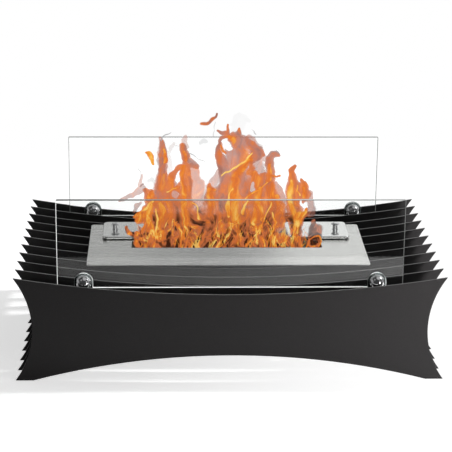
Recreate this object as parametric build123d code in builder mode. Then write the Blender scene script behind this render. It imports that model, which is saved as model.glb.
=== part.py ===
from build123d import *
from math import sqrt
import os

os.makedirs("parts", exist_ok=True)

# A free-standing bioethanol fireplace. Eleven upright steel plates with hollow ends, a dished top
# edge and an arch between their feet stand one behind the other on tie rods. The burner, a steel
# surround with a slot over a fuel box, lies across the dished edges. A loose cover with two knobs
# slides over the slot to put the fire out, and a glass panel hangs on two studs at the front and
# at the back.
#
# Frame: X runs along the width, Y from the front to the back and Z up. The origin is on the floor
# under the middle of the object. All lengths are in millimetres.

# ---------------------------------------------------------------- upright plates
stack_width = 650.0  # horn tip to horn tip, and foot to foot
plate_count = 11  # two outer plates and the slats between them
plate_pitch = 40.0  # centre to centre, front to back
plate_thickness = 3.0
horn_height = 163.6  # the pointed upper corners
top_dip_height = 137.2  # lowest point of the dished top edge
waist_height = 81.0  # where the hollow ends are narrowest
waist_inset = 26.5  # how far the ends draw in there
foot_length = 26.7  # flat underside of each foot
arch_height = 39.6  # top of the arch between the feet

# ---------------------------------------------------------------- tie rods
rod_diameter = 8.0
rod_hole_gap = 0.2  # radial, in the plates, spacers and brackets
rod_chamfer = 1.0
upper_rod_margin = 27.4  # from the top edge down to the upper rods
lower_rod_margin = 33.0  # from the arch up to the lower rods
lower_rod_inset = 75.0  # from the foot tips to the lower rods
spacer_diameter = 16.0
boss_diameter = 18.0
boss_bore_end = 2.0  # metal left between a boss's bore and the outer plate
rod_end_gap = 0.5  # rod tip to the bottom of the bore

# ---------------------------------------------------------------- glass panels and their studs
glass_inset = 64.5  # from the horn tips to the glass's ends
glass_height = 138.0
glass_thickness = 6.0
glass_corner_radius = 2.0
glass_arris = 0.6  # narrow ground bevel along the edges
glass_drop = 9.4  # from the studs' axis down to the glass's lower edge
stud_inset = 104.0  # from the horn tips to the studs and the upper rods
stud_rise = 2.0  # of the studs' axis above the plates' top edge
glass_side_gap = 0.3
notch_gap = 0.3  # glass to silicone saddle
saddle_wall = 1.4
saddle_gap = 0.1  # saddle to bracket
bracket_head_radius = 11.8
bracket_width = 16.0
gasket_radius = 14.6
gasket_thickness = 1.0
dome_radius = 12.0
dome_bore_depth = 8.0
pin_diameter = 6.0
pin_hole_gap = 0.1
pin_end_gap = 0.5

# ---------------------------------------------------------------- burner
surround_length = 441.0
surround_width = 204.0
surround_thickness = 1.5
surround_corner_radius = 5.0
surround_edge_radius = 0.8  # of the softened upper edge
seat_gap = 0.05  # the surround's ends to the plates' top edges
slot_length = 304.0
slot_width = 38.0
slot_corner_radius = 1.5
box_end_margin = 10.0  # fuel box beyond the slot, at each end
box_side_margin = 11.0  # and at each side
box_depth = 50.0
box_wall = 1.5
box_corner_radius = 6.0
box_bottom_radius = 3.0
flange_width = 8.0
box_notch_gap = 2.0  # fuel box's flange to the notched slats
weld_stud_diameter = 3.0
weld_stud_length = 5.0
weld_stud_hole_gap = 0.2
long_side_stud_pitch = 110.0
short_side_stud_pitch = 30.0
nut_across_flats = 5.5
nut_height = 2.4
nut_bore_gap = 0.1

# ---------------------------------------------------------------- inside the fuel box
screen_height = 32.0  # folded screen, standing on the box's floor
screen_sheet = 1.2
screen_side_gap = 1.8
vent_count = 18
vent_pitch = 16.0
vent_width = 5.0
vent_end_margin = 9.0  # from the vents' ends to the screen's folded sides
pad_height = 29.0
pad_gap = 0.4

# ---------------------------------------------------------------- sliding cover
cover_length = 400.0
cover_width = 80.0
cover_sheet = 1.5
cover_lip = 3.6  # height over the turned-down lip
cover_lip_gap = 1.5  # lip to surround
cover_corner_radius = 8.0
cover_fold_radius = 1.8  # outside of the fold
cover_back_margin = 0.5  # open cover to the surround's back edge
pad_diameter = 9.0
pad_inset = 10.0  # glide pads' centres from the cover's edges
slide_gap = 0.05
knob_inset = 20.0  # knobs from the cover's ends
knob_height = 11.0
knob_foot_radius = 5.0
knob_foot_height = 0.8
knob_stem_radius = 4.0
knob_stem_height = 6.4
knob_head_radius = 6.6
knob_rim_height = 8.2
knob_rim_edge = 0.7
knob_bore_depth = 6.5
screw_diameter = 2.9
screw_gap = 0.1
screw_head_diameter = 5.6
screw_head_height = 2.0
screw_end_gap = 0.8

# ---------------------------------------------------------------- curved edges of the plates
half_width = stack_width / 2
top_sag = horn_height - top_dip_height
top_radius = (half_width**2 + top_sag**2) / (2 * top_sag)
arch_half_span = half_width - foot_length
arch_radius = (arch_half_span**2 + arch_height**2) / (2 * arch_height)


def top_edge_height(x):
    """Height of the dished top edge at a distance x from the middle."""
    return top_dip_height + top_radius - sqrt(top_radius**2 - x**2)


def arch_edge_height(x):
    """Height of the arch between the feet at a distance x from the middle."""
    return arch_height - arch_radius + sqrt(arch_radius**2 - x**2)


# ---------------------------------------------------------------- positions worked out from these
sides = (-1, 1)
outer_plate_y = plate_pitch * (plate_count - 1) / 2
outer_inner_face = outer_plate_y - plate_thickness / 2
end_slat_face = outer_plate_y - plate_pitch + plate_thickness / 2
plate_ys = [plate_pitch * i - outer_plate_y for i in range(plate_count)]
slat_ys = plate_ys[1:-1]
inner_gap_ys = [(a + b) / 2 for a, b in zip(slat_ys, slat_ys[1:])]

glass_y = (outer_inner_face + end_slat_face) / 2
bracket_thickness = glass_thickness + 2 * glass_side_gap
bracket_outer_face = glass_y + bracket_thickness / 2
bracket_inner_face = glass_y - bracket_thickness / 2
stud_x = half_width - stud_inset
stud_z = top_edge_height(stud_x) + stud_rise
glass_bottom = stud_z - glass_drop
glass_length = stack_width - 2 * glass_inset

upper_rod_z = top_edge_height(stud_x) - upper_rod_margin
lower_rod_x = half_width - lower_rod_inset
lower_rod_z = arch_edge_height(lower_rod_x) + lower_rod_margin
rod_hole_radius = rod_diameter / 2 + rod_hole_gap
bore_floor_y = outer_inner_face - boss_bore_end
rod_half_length = bore_floor_y - rod_end_gap

seat_z = top_edge_height(surround_length / 2) + seat_gap
surround_top = seat_z + surround_thickness
box_length = slot_length + 2 * box_end_margin
box_width = slot_width + 2 * box_side_margin
box_floor_z = seat_z - box_depth + box_wall
flange_length = box_length + 2 * flange_width
flange_breadth = box_width + 2 * flange_width
flange_bottom = seat_z - box_wall
stud_rows = (
    GridLocations(long_side_stud_pitch, box_width + flange_width, 3, 2),
    GridLocations(box_length + flange_width, short_side_stud_pitch, 2, 2),
)
weld_stud_spots = [spot for row in stud_rows for spot in row]

cover_bottom = surround_top + cover_lip_gap
cover_top = cover_bottom + cover_lip
cover_y = (surround_width - cover_width) / 2 - cover_back_margin
knob_x = cover_length / 2 - knob_inset
cover_plane = Plane(origin=(0, cover_y, cover_top))


def facing(x, side, distance, z=stud_z):
    """Plane square to Y at a distance from the middle, looking out to the front (-1) or back."""
    return Plane(origin=(x, side * distance, z), x_dir=(-side, 0, 0), z_dir=(0, side, 0))


# ---------------------------------------------------------------- outline shared by all plates
with BuildSketch() as plate_outline:
    with BuildLine():
        ThreePointArc((-half_width, horn_height), (0, top_dip_height), (half_width, horn_height))
        for side in sides:
            ThreePointArc(
                (side * half_width, horn_height),
                (side * (half_width - waist_inset), waist_height),
                (side * half_width, 0),
            )
            Line((side * half_width, 0), (side * arch_half_span, 0))
        ThreePointArc((-arch_half_span, 0), (0, arch_height), (arch_half_span, 0))
    make_face()

with BuildSketch() as rod_holes:
    with Locations(*[(side * stud_x, upper_rod_z) for side in sides]):
        Circle(rod_hole_radius)
    with Locations(*[(side * lower_rod_x, lower_rod_z) for side in sides]):
        Circle(rod_hole_radius)

# ---------------------------------------------------------------- outer plates, with plain faces
for name, y in (("front_plate", plate_ys[0]), ("rear_plate", plate_ys[-1])):
    with BuildPart() as outer_plate:
        with BuildSketch(Plane.XZ.offset(-y)):
            add(plate_outline.sketch)
        extrude(amount=plate_thickness / 2, both=True)
    outer_plate.part.label = name
    export_step(outer_plate.part, f"parts/{name}.step")

# ---------------------------------------------------------------- slats, notched for the fuel box
for number, y in enumerate(slat_ys, start=1):
    box_passes_through = abs(y) < (box_width + plate_thickness) / 2 + box_notch_gap
    with BuildPart() as slat:
        with BuildSketch(Plane.XZ.offset(-y)):
            add(plate_outline.sketch)
            add(rod_holes.sketch, mode=Mode.SUBTRACT)
            if box_passes_through:
                with Locations((0, seat_z - box_depth - box_notch_gap)):
                    Rectangle(
                        flange_length + 2 * box_notch_gap,
                        horn_height,
                        align=(Align.CENTER, Align.MIN),
                        mode=Mode.SUBTRACT,
                    )
        extrude(amount=plate_thickness / 2, both=True)
    slat.part.label = f"slat_{number}"
    export_step(slat.part, f"parts/slat_{number}.step")

# ---------------------------------------------------------------- tie rods and their spacers
rods = (
    ("upper", "left", -stud_x, upper_rod_z),
    ("upper", "right", stud_x, upper_rod_z),
    ("lower", "left", -lower_rod_x, lower_rod_z),
    ("lower", "right", lower_rod_x, lower_rod_z),
)
for level, hand, x, z in rods:
    with BuildPart() as tie_rod:
        with BuildSketch(Plane.XZ):
            with Locations((x, z)):
                Circle(rod_diameter / 2)
        extrude(amount=rod_half_length, both=True)
        chamfer(tie_rod.edges().filter_by(GeomType.CIRCLE), rod_chamfer)
    tie_rod.part.label = f"{level}_tie_rod_{hand}"
    export_step(tie_rod.part, f"parts/{level}_tie_rod_{hand}.step")

    with BuildPart() as spacers:
        with BuildSketch(*[Plane.XZ.offset(-y) for y in inner_gap_ys]):
            with Locations((x, z)):
                Circle(spacer_diameter / 2)
                Circle(rod_hole_radius, mode=Mode.SUBTRACT)
        extrude(amount=(plate_pitch - plate_thickness) / 2, both=True)
        if level == "upper":
            with BuildSketch(*[facing(x, side, end_slat_face, z) for side in sides]):
                Circle(spacer_diameter / 2)
                Circle(rod_hole_radius, mode=Mode.SUBTRACT)
            extrude(amount=bracket_inner_face - end_slat_face)
    spacers.part.label = f"{level}_spacers_{hand}"
    export_step(spacers.part, f"parts/{level}_spacers_{hand}.step")

# Blind bosses welded to the inner faces of the outer plates take the rods' threaded ends, so that
# no fastener shows outside. The upper ones are short, because a glass bracket stands on the rod.
for name, side in (("front_bosses", -1), ("rear_bosses", 1)):
    with BuildPart() as bosses:
        for level, _, x, z in rods:
            boss_start = bracket_outer_face if level == "upper" else end_slat_face
            with BuildSketch(facing(x, side, boss_start, z)):
                Circle(boss_diameter / 2)
            extrude(amount=outer_inner_face - boss_start)
            with BuildSketch(facing(x, side, boss_start, z)):
                Circle(rod_hole_radius)
            extrude(amount=bore_floor_y - boss_start, mode=Mode.SUBTRACT)
    bosses.part.label = name
    export_step(bosses.part, f"parts/{name}.step")

# ---------------------------------------------------------------- brackets that carry the glass
stud_corners = [(x, side) for side in sides for x in (-stud_x, stud_x)]
rod_drop = stud_z - upper_rod_z
pin_hole_radius = pin_diameter / 2 + pin_hole_gap

with BuildPart() as glass_brackets:
    with BuildSketch(*[facing(x, side, bracket_inner_face) for x, side in stud_corners]):
        Circle(bracket_head_radius)
        with Locations((0, -rod_drop / 2)):
            SlotCenterToCenter(rod_drop, bracket_width, rotation=90)
        Circle(pin_hole_radius, mode=Mode.SUBTRACT)
        with Locations((0, -rod_drop)):
            Circle(rod_hole_radius, mode=Mode.SUBTRACT)
    extrude(amount=bracket_thickness)
glass_brackets.part.label = "glass_brackets"
export_step(glass_brackets.part, "parts/glass_brackets.step")

saddle_inner_radius = bracket_head_radius + saddle_gap
saddle_outer_radius = saddle_inner_radius + saddle_wall
notch_radius = saddle_outer_radius + notch_gap

with BuildPart() as silicone_saddles:
    with BuildSketch(*[facing(x, side, bracket_inner_face) for x, side in stud_corners]):
        for radius, mode in ((saddle_outer_radius, Mode.ADD), (saddle_inner_radius, Mode.SUBTRACT)):
            Circle(radius, mode=mode)
            Rectangle(2 * radius, glass_drop, align=(Align.CENTER, Align.MAX), mode=mode)
            with Locations((0, -glass_drop)):
                Rectangle(2 * radius, radius, align=(Align.CENTER, Align.MAX), mode=Mode.SUBTRACT)
    extrude(amount=bracket_thickness)
silicone_saddles.part.label = "silicone_saddles"
export_step(silicone_saddles.part, "parts/silicone_saddles.step")

gasket_outer_face = bracket_outer_face + gasket_thickness
gasket_inner_face = bracket_inner_face - gasket_thickness
with BuildPart() as clear_gaskets:
    for start in (bracket_outer_face, gasket_inner_face):
        with BuildSketch(*[facing(x, side, start) for x, side in stud_corners]):
            Circle(gasket_radius)
            Circle(pin_hole_radius, mode=Mode.SUBTRACT)
        extrude(amount=gasket_thickness)
clear_gaskets.part.label = "clear_gaskets"
export_step(clear_gaskets.part, "parts/clear_gaskets.step")

pin_start = gasket_inner_face - dome_bore_depth + pin_end_gap
pin_end = gasket_outer_face + dome_bore_depth - pin_end_gap
with BuildPart() as stud_pins:
    with BuildSketch(*[facing(x, side, pin_start) for x, side in stud_corners]):
        Circle(pin_diameter / 2)
    extrude(amount=pin_end - pin_start)
stud_pins.part.label = "stud_pins"
export_step(stud_pins.part, "parts/stud_pins.step")

# Each stud has two polished half-round caps, one on each side of the glass.
for name, side in (("front_stud_caps", -1), ("rear_stud_caps", 1)):
    cap_spots = [
        (x, start, outward)
        for x in (-stud_x, stud_x)
        for start, outward in ((gasket_outer_face, side), (gasket_inner_face, -side))
    ]
    with BuildPart() as stud_caps:
        for x, start, outward in cap_spots:
            cap_centre = (x, side * start, stud_z)
            with BuildSketch(Plane(cap_centre, x_dir=(0, outward, 0), z_dir=(outward, 0, 0))):
                with BuildLine():
                    Line((0, pin_hole_radius), (0, dome_radius))
                    CenterArc((0, 0), dome_radius, 0, 90)
                    Line((dome_radius, 0), (dome_bore_depth, 0))
                    Line((dome_bore_depth, 0), (dome_bore_depth, pin_hole_radius))
                    Line((dome_bore_depth, pin_hole_radius), (0, pin_hole_radius))
                make_face()
            revolve(axis=Axis(cap_centre, (0, outward, 0)))
    stud_caps.part.label = name
    export_step(stud_caps.part, f"parts/{name}.step")

# ---------------------------------------------------------------- glass panels
for name, side in (("front_glass", -1), ("rear_glass", 1)):
    with BuildPart() as glass:
        with BuildSketch(facing(0, side, glass_y, glass_bottom)):
            with Locations((0, glass_height / 2)):
                RectangleRounded(glass_length, glass_height, glass_corner_radius)
            with Locations((-stud_x, glass_drop), (stud_x, glass_drop)):
                Circle(notch_radius, mode=Mode.SUBTRACT)
            with Locations((-stud_x, 0), (stud_x, 0)):
                Rectangle(2 * notch_radius, 2 * glass_drop, mode=Mode.SUBTRACT)
        extrude(amount=glass_thickness / 2, both=True)
        chamfer(glass.faces().filter_by(Axis.Y).edges(), glass_arris)
    glass.part.label = name
    export_step(glass.part, f"parts/{name}.step")

# ---------------------------------------------------------------- burner surround
with BuildPart() as burner_surround:
    with BuildSketch(Plane.XY.offset(seat_z)):
        RectangleRounded(surround_length, surround_width, surround_corner_radius)
        RectangleRounded(slot_length, slot_width, slot_corner_radius, mode=Mode.SUBTRACT)
    extrude(amount=surround_thickness)
    upper_face = burner_surround.faces().sort_by(Axis.Z)[-1]
    fillet(upper_face.outer_wire().edges(), surround_edge_radius)
    with BuildSketch(Plane.XY.offset(seat_z)):
        with Locations(*weld_stud_spots):
            Circle(weld_stud_diameter / 2)
    extrude(amount=-weld_stud_length)
burner_surround.part.label = "burner_surround"
export_step(burner_surround.part, "parts/burner_surround.step")

# ---------------------------------------------------------------- fuel box with its flange
with BuildPart() as fuel_box:
    with BuildSketch(Plane.XY.offset(seat_z - box_depth)):
        RectangleRounded(box_length, box_width, box_corner_radius)
    extrude(amount=box_depth)
    fillet(fuel_box.faces().sort_by(Axis.Z)[0].edges(), box_bottom_radius)
    offset(amount=-box_wall, openings=fuel_box.faces().sort_by(Axis.Z)[-1])
    with BuildSketch(Plane.XY.offset(flange_bottom)):
        RectangleRounded(flange_length, flange_breadth, box_corner_radius + flange_width)
        RectangleRounded(
            box_length - box_wall, box_width - box_wall, box_corner_radius, mode=Mode.SUBTRACT
        )
        with Locations(*weld_stud_spots):
            Circle(weld_stud_diameter / 2 + weld_stud_hole_gap, mode=Mode.SUBTRACT)
    extrude(amount=box_wall)
fuel_box.part.label = "fuel_box"
export_step(fuel_box.part, "parts/fuel_box.step")

with BuildPart() as burner_nuts:
    with BuildSketch(Plane.XY.offset(flange_bottom)):
        with Locations(*weld_stud_spots):
            RegularPolygon(nut_across_flats / 2, 6, major_radius=False)
            Circle(weld_stud_diameter / 2 + nut_bore_gap, mode=Mode.SUBTRACT)
    extrude(amount=-nut_height)
burner_nuts.part.label = "burner_nuts"
export_step(burner_nuts.part, "parts/burner_nuts.step")

# ---------------------------------------------------------------- screen and wick pad
screen_length = box_length - 2 * box_corner_radius
screen_width = box_width - 2 * (box_wall + screen_side_gap)
vent_length = screen_width - 2 * (screen_sheet + vent_end_margin)

with BuildPart() as wick_screen:
    with BuildSketch(Plane.YZ):
        with Locations((0, box_floor_z)):
            Rectangle(screen_width, screen_height, align=(Align.CENTER, Align.MIN))
            Rectangle(
                screen_width - 2 * screen_sheet,
                screen_height - screen_sheet,
                align=(Align.CENTER, Align.MIN),
                mode=Mode.SUBTRACT,
            )
    extrude(amount=screen_length / 2, both=True)
    with BuildSketch(Plane.XY.offset(box_floor_z + screen_height)):
        with GridLocations(vent_pitch, 0, vent_count, 1):
            SlotOverall(vent_length, vent_width, rotation=90)
    extrude(amount=-screen_sheet, mode=Mode.SUBTRACT)
wick_screen.part.label = "wick_screen"
export_step(wick_screen.part, "parts/wick_screen.step")

with BuildPart() as wick_pad:
    with BuildSketch(Plane.XY.offset(box_floor_z)):
        Rectangle(screen_length - 2 * pad_gap, screen_width - 2 * (screen_sheet + pad_gap))
    extrude(amount=pad_height)
wick_pad.part.label = "wick_pad"
export_step(wick_pad.part, "parts/wick_pad.step")

# ---------------------------------------------------------------- sliding cover, shown open
with BuildPart() as sliding_cover:
    with BuildSketch(Plane(origin=(0, cover_y, cover_bottom))):
        RectangleRounded(cover_length, cover_width, cover_corner_radius)
    extrude(amount=cover_lip)
    fillet(sliding_cover.faces().sort_by(Axis.Z)[-1].edges(), cover_fold_radius)
    underside = sliding_cover.faces().sort_by(Axis.Z)[0]
    offset(amount=-cover_sheet, openings=underside)
    with BuildSketch(cover_plane):
        with GridLocations(2 * knob_x, 0, 2, 1):
            Circle(screw_diameter / 2 + screw_gap)
    extrude(amount=-cover_sheet, mode=Mode.SUBTRACT)
sliding_cover.part.label = "sliding_cover"
export_step(sliding_cover.part, "parts/sliding_cover.step")

pad_bottom = surround_top + slide_gap
with BuildPart() as glide_pads:
    with BuildSketch(Plane(origin=(0, cover_y, pad_bottom))):
        with GridLocations(cover_length - 2 * pad_inset, cover_width - 2 * pad_inset, 2, 2):
            Circle(pad_diameter / 2)
    extrude(amount=cover_top - cover_sheet - pad_bottom)
glide_pads.part.label = "glide_pads"
export_step(glide_pads.part, "parts/glide_pads.step")

# ---------------------------------------------------------------- turned mushroom knobs
for name, x in (("knob_left", -knob_x), ("knob_right", knob_x)):
    knob_plane = Plane(origin=(x, cover_y, cover_top), x_dir=(1, 0, 0), z_dir=(0, -1, 0))
    bore_radius = screw_diameter / 2 + screw_gap
    with BuildPart() as knob:
        with BuildSketch(knob_plane):
            with BuildLine():
                Line((bore_radius, 0), (knob_foot_radius, 0))
                Line((knob_foot_radius, 0), (knob_foot_radius, knob_foot_height))
                Line((knob_foot_radius, knob_foot_height), (knob_stem_radius, knob_foot_height))
                Line((knob_stem_radius, knob_foot_height), (knob_stem_radius, knob_stem_height))
                flare = TangentArc(
                    (knob_stem_radius, knob_stem_height),
                    (knob_head_radius, knob_rim_height),
                    tangent=(0, 1),
                )
                Line(flare @ 1, (knob_head_radius, knob_rim_height + knob_rim_edge))
                TangentArc(
                    (0, knob_height),
                    (knob_head_radius, knob_rim_height + knob_rim_edge),
                    tangent=(1, 0),
                )
                Line((0, knob_height), (0, knob_bore_depth))
                Line((0, knob_bore_depth), (bore_radius, knob_bore_depth))
                Line((bore_radius, knob_bore_depth), (bore_radius, 0))
            make_face()
        revolve(axis=Axis((x, cover_y, cover_top), (0, 0, 1)))
    knob.part.label = name
    export_step(knob.part, f"parts/{name}.step")

with BuildPart() as knob_screws:
    with BuildSketch(cover_plane.offset(-cover_sheet)):
        with GridLocations(2 * knob_x, 0, 2, 1):
            Circle(screw_head_diameter / 2)
    extrude(amount=-screw_head_height)
    with BuildSketch(cover_plane.offset(-cover_sheet)):
        with GridLocations(2 * knob_x, 0, 2, 1):
            Circle(screw_diameter / 2)
    extrude(amount=cover_sheet + knob_bore_depth - screw_end_gap)
knob_screws.part.label = "knob_screws"
export_step(knob_screws.part, "parts/knob_screws.step")
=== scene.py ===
# %% [markdown]
# # A bioethanol fireplace and its finishes
#
# The fireplace is a stack of eleven powder-coated steel plates with a stainless burner across them and a
# glass panel at the front and back. The packed model holds every solid at its real size and place, so this
# lesson gives each one its surface: paint, four kinds of steel, chrome, glass, silicone, nylon, wool. Only
# the wool pad and the flame get a mesh of their own. Lengths are in metres, X runs right, Y runs to the
# back and Z up, with the floor at zero.

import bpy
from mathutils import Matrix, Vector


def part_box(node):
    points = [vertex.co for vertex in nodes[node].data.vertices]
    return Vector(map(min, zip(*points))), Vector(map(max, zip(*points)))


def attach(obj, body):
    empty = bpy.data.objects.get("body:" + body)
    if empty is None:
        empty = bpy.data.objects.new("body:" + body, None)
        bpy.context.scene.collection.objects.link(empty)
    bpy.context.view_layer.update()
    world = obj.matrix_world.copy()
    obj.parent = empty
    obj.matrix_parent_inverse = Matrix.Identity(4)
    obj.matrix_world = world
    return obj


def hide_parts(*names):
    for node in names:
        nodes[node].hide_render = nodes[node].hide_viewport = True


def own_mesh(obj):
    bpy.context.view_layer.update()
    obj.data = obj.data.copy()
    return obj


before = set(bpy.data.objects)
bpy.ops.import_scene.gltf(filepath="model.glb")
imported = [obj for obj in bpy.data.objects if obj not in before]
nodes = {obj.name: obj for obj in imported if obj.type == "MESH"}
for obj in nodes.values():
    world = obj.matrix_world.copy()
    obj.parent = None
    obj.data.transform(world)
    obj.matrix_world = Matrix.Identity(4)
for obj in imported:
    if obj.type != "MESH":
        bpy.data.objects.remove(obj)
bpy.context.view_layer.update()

# %% The tools of the lesson
import random
from math import cos, radians, sin

import bmesh
import bpy
import numpy as np
from mathutils import Matrix, Vector, noise

print("Blender", bpy.app.version_string)

# %% [markdown]
# ## Shader maths as Python
#
# A procedural finish is a network of small nodes. Wiring them by hand hides the idea under bookkeeping, so
# one class holds a node's output and turns `+`, `-`, `*` and `abs` into Math nodes. A second class owns a
# material's tree and adds every kind of node through one method; its other methods are short names for the
# nodes that are used most.


# %% A wire that does sums
class Wire:
    """An output of a shader node. Arithmetic on it adds Math nodes to its tree."""

    def __init__(self, shader, output):
        self.shader = shader
        self.output = output

    def maths(self, operation, *values):
        return self.shader.node("ShaderNodeMath", {"operation": operation}, dict(enumerate(values)))

    def __add__(self, other):
        return self.maths("ADD", self, other)

    def __radd__(self, other):
        return self.maths("ADD", other, self)

    def __sub__(self, other):
        return self.maths("SUBTRACT", self, other)

    def __rsub__(self, other):
        return self.maths("SUBTRACT", other, self)

    def __mul__(self, other):
        return self.maths("MULTIPLY", self, other)

    def __rmul__(self, other):
        return self.maths("MULTIPLY", other, self)

    def __abs__(self):
        return self.maths("ABSOLUTE", self)

    def at_least(self, other):
        return self.maths("MAXIMUM", self, other)

    def at_most(self, other):
        return self.maths("MINIMUM", self, other)

    def within(self, start, end, low=0.0, high=1.0):
        """Maps start..end smoothly to low..high."""
        settings = {"interpolation_type": "SMOOTHSTEP"}
        sockets = {"Value": self, "From Min": start, "From Max": end, "To Min": low, "To Max": high}
        return self.shader.node("ShaderNodeMapRange", settings, sockets)


sums = [name.strip("_") for name in vars(Wire) if callable(getattr(Wire, name)) and name not in dir(object)]
print("sums on wires:", ", ".join(sums))


# %% A tree that takes any node
class Shader:
    """A node tree, and one method that adds any node to it."""

    def __init__(self, tree):
        self.tree = tree
        self.tree.nodes.clear()

    def node(self, kind, settings=None, sockets=None, output=0):
        """Adds a node of that kind, sets its settings, then gives its sockets values or wires."""
        made = self.tree.nodes.new(kind)
        for name, value in (settings or {}).items():
            if name == "stops":
                self.place_stops(made.color_ramp.elements, value)
            else:
                setattr(made, name, value)
        for name, value in (sockets or {}).items():
            if isinstance(value, Wire):
                self.tree.links.new(value.output, made.inputs[name])
            else:
                made.inputs[name].default_value = value
        return Wire(self, made.outputs[output]) if made.outputs else made

    @staticmethod
    def place_stops(elements, stops):
        while len(elements) < len(stops):
            elements.new(1.0)
        for element, (position, shade) in zip(elements, stops):
            element.position = position
            element.color = (*shade, 1.0)

    def place(self, stretch=(1.0, 1.0, 1.0)):
        """The object's own coordinates in metres, multiplied along each axis."""
        here = self.node("ShaderNodeTexCoord", output="Object")
        return self.node("ShaderNodeVectorMath", {"operation": "MULTIPLY"}, {0: here, 1: stretch})

    def coordinate(self, axis, vector=None):
        """One coordinate of a vector, or of the object's own place."""
        return self.node("ShaderNodeSeparateXYZ", sockets={0: vector or self.place()}, output=axis)

    def grain(self, scale, detail, stretch=(1.0, 1.0, 1.0), vector=None):
        """Noise from 0 to 1 with that many features to a metre, drawn out by stretch."""
        sockets = {"Vector": vector or self.place(stretch), "Scale": scale, "Detail": detail}
        return self.node("ShaderNodeTexNoise", sockets=sockets, output="Fac")

    def blend(self, factor, first, second):
        """A colour between two others."""
        return self.node("ShaderNodeMix", {"data_type": "RGBA"}, {0: factor, 6: first, 7: second}, output=2)

    def bump(self, height, depth, normal=None):
        """A normal tilted by a height of 0 to 1 that stands for that many metres."""
        sockets = {"Height": height, "Distance": depth}
        if normal:
            sockets["Normal"] = normal
        return self.node("ShaderNodeBump", sockets=sockets)

    def rounded(self, radius):
        """A normal that softens every hard edge as if it were rounded to that radius."""
        return self.node("ShaderNodeBevel", {"samples": 4}, {"Radius": radius})

    def ray(self, name):
        """What kind of ray asks for the colour, or how often it was mirrored."""
        return self.node("ShaderNodeLightPath", output=name)

    def principled(self, **sockets):
        """A Principled surface; a socket's name is written with underscores."""
        named = {name.replace("_", " "): value for name, value in sockets.items()}
        return self.node("ShaderNodeBsdfPrincipled", sockets=named)

    def shine(self, shade, strength=1.0):
        return self.node("ShaderNodeEmission", sockets={"Color": shade, "Strength": strength})

    def clear(self, shade):
        return self.node("ShaderNodeBsdfTransparent", sockets={"Color": shade})

    def mix(self, factor, first, second):
        """A surface between two others."""
        return self.node("ShaderNodeMixShader", sockets={0: factor, 1: first, 2: second})

    def both(self, first, second):
        """Two surfaces added together."""
        return self.node("ShaderNodeAddShader", sockets={0: first, 1: second})

    def finish(self, surface):
        self.node("ShaderNodeOutputMaterial", sockets={"Surface": surface})


print("short names for nodes:", ", ".join(name for name in vars(Shader) if not name.startswith("_")))


# %% Colours and finishes
def colour(red, green, blue):
    return (red, green, blue, 1.0)


BLACK = colour(0.0, 0.0, 0.0)
WHITE = colour(1.0, 1.0, 1.0)
FINISHES = {}  # every material by its name, filled as the lesson goes on


def new_finish(name):
    """An empty material and the shader that fills it."""
    material = bpy.data.materials.new("finish_" + name)
    material.use_nodes = True
    return material, Shader(material.node_tree)


def keep(name, material):
    FINISHES[name] = material
    print(name, "is made of", len(material.node_tree.nodes), "shader nodes")


print("colours run from", BLACK[:3], "to", WHITE[:3])

# %% [markdown]
# ## The camera
#
# The picture is taken from the front, a little to the left of the middle and looking down, from so far away
# that the plates hardly taper. Where the camera stands, how far it looks down and its focal length were
# worked out from the plates' corners; here they become a rotation built from three perpendicular axes,
# which is exact, instead of an aim at a target.

# %% Camera
CAMERA_PLACE = Vector((-0.0959, -2.6321, 1.0342))
TURN = radians(2.06)
LOOK_DOWN = radians(17.96)
ROLL = radians(0.56)
PICTURE_SIDE = 452.0
FOCAL_LENGTH = 1730.0  # measured in steps of the picture, which is PICTURE_SIDE wide
SENSOR_WIDTH = 36.0

forward = Vector((sin(TURN) * cos(LOOK_DOWN), cos(TURN) * cos(LOOK_DOWN), -sin(LOOK_DOWN)))
level = Vector((cos(TURN), -sin(TURN), 0.0))
upward = level.cross(forward)
right = level * cos(ROLL) + upward * sin(ROLL)
above = upward * cos(ROLL) - level * sin(ROLL)

camera_data = bpy.data.cameras.new("picture_camera")
camera_data.sensor_width = SENSOR_WIDTH
camera_data.lens = FOCAL_LENGTH / PICTURE_SIDE * SENSOR_WIDTH
camera = bpy.data.objects.new("picture_camera", camera_data)
turned = Matrix((right, above, -forward)).transposed().to_4x4()
camera.matrix_world = Matrix.Translation(CAMERA_PLACE) @ turned
bpy.context.scene.collection.objects.link(camera)
bpy.context.scene.camera = camera
print("focal length:", round(camera_data.lens, 1), "mm")

# %% [markdown]
# ## The floor
#
# The fireplace stands on a pale floor that runs out into white. A large backdrop would do that too, but it
# would also light the object from all sides. So the floor is a plain sheet that shines by itself, more the
# further it is from the fireplace, and only where it is seen: to dull surfaces it stays a plain matt floor.
# It ends a little in front of the plates, so that the front glass mirrors a bright strip low down and stays
# clear above, and mirrors see it grow brighter towards the right, where the lamps are.

# %% Floor finish
GLOW_NEAR = 0.6  # how much the floor shines by itself around the fireplace, and where its shadow has faded
GLOW_FAR = 1.17
SHADOW_FADES = (0.5, 1.0)  # from the middle outwards, and along X, because the lamps are at the right
SHADOW_FADES_RIGHT = (-0.2, 0.32)
GLOW_LEFT = 0.04  # how much mirrors see it shine, at the far left and the far right
GLOW_RIGHT = 0.62
MIRRORED_LEFT_TO_RIGHT = (-0.5, 0.7)
FLOOR_PAINT = (colour(0.86, 0.86, 0.86), colour(0.9, 0.9, 0.9))
SEEN_DIRECTLY = colour(0.88, 0.88, 0.88)


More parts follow.
